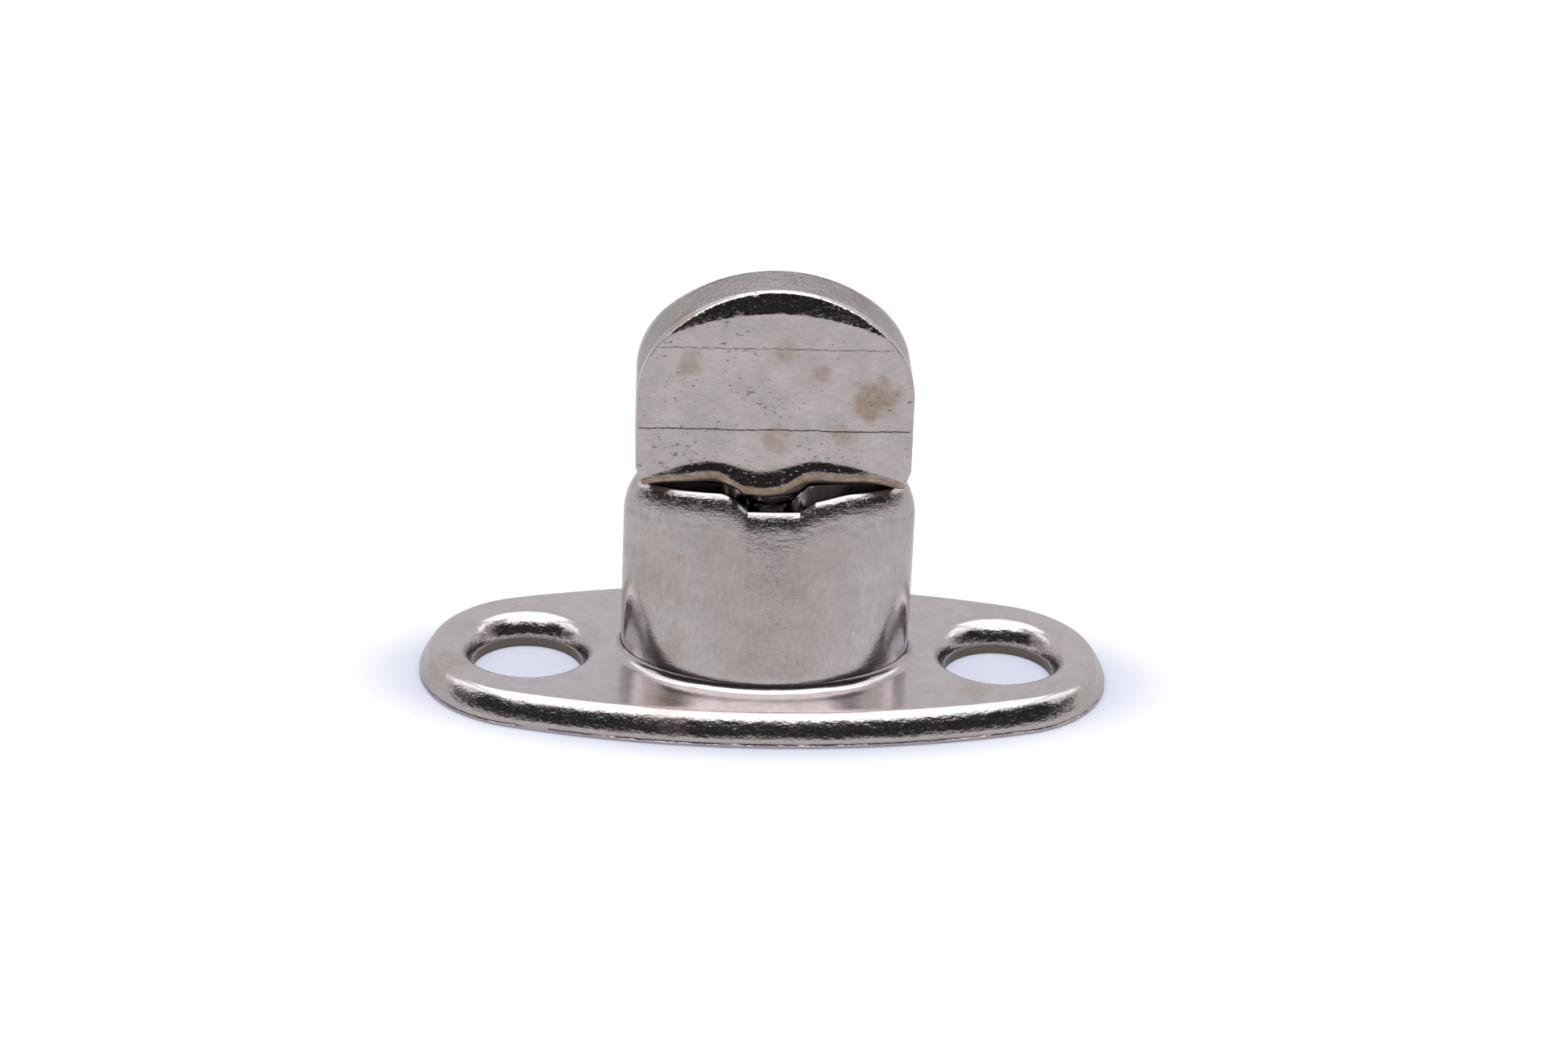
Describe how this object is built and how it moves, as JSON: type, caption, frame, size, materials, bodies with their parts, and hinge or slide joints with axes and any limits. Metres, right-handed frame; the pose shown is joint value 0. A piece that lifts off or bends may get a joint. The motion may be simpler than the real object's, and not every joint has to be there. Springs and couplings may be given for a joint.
{
  "type": "turn button fastener",
  "caption": "Double-height turn-button fastener: a half-round button turns above a grooved oval post on an oval screw-down base, to hold an eyeleted cover",
  "frame": {"origin": "centre of the mounting face", "axes": "+X along the base from screw hole to screw hole, +Z away from the mounting face along the spindle, -Y the front"},
  "size_m": [0.032, 0.0142, 0.02],
  "materials": {
    "plated_sheet": "bright nickel plate on pressed steel sheet",
    "plated_casting": "bright nickel plate on a casting, slightly tarnished",
    "plated_pin": "dull nickel plate",
    "spring_wire": "drawn spring wire"
  },
  "bodies": {
    "base": {"base_plate": "plated_sheet", "post_shell": "plated_sheet", "upper_washer": "plated_pin"},
    "carrier": {"retaining_washer": "plated_pin", "spring": "spring_wire"},
    "button": {"turn_head": "plated_casting", "spindle": "plated_pin"}
  },
  "joints": [
    {"name": "head_lift", "type": "slide", "parent": "base", "child": "carrier", "axis": [0, 0, 1], "range_m": [0, 0.001], "stiffness_N_per_m": 2000, "springref_m": -0.004, "deforming": ["spring"]},
    {"name": "head_turn", "type": "hinge", "parent": "carrier", "child": "button", "pos_m": [0, 0, 0.0103], "axis": [0, 0, 1], "continuous": true}
  ]
}
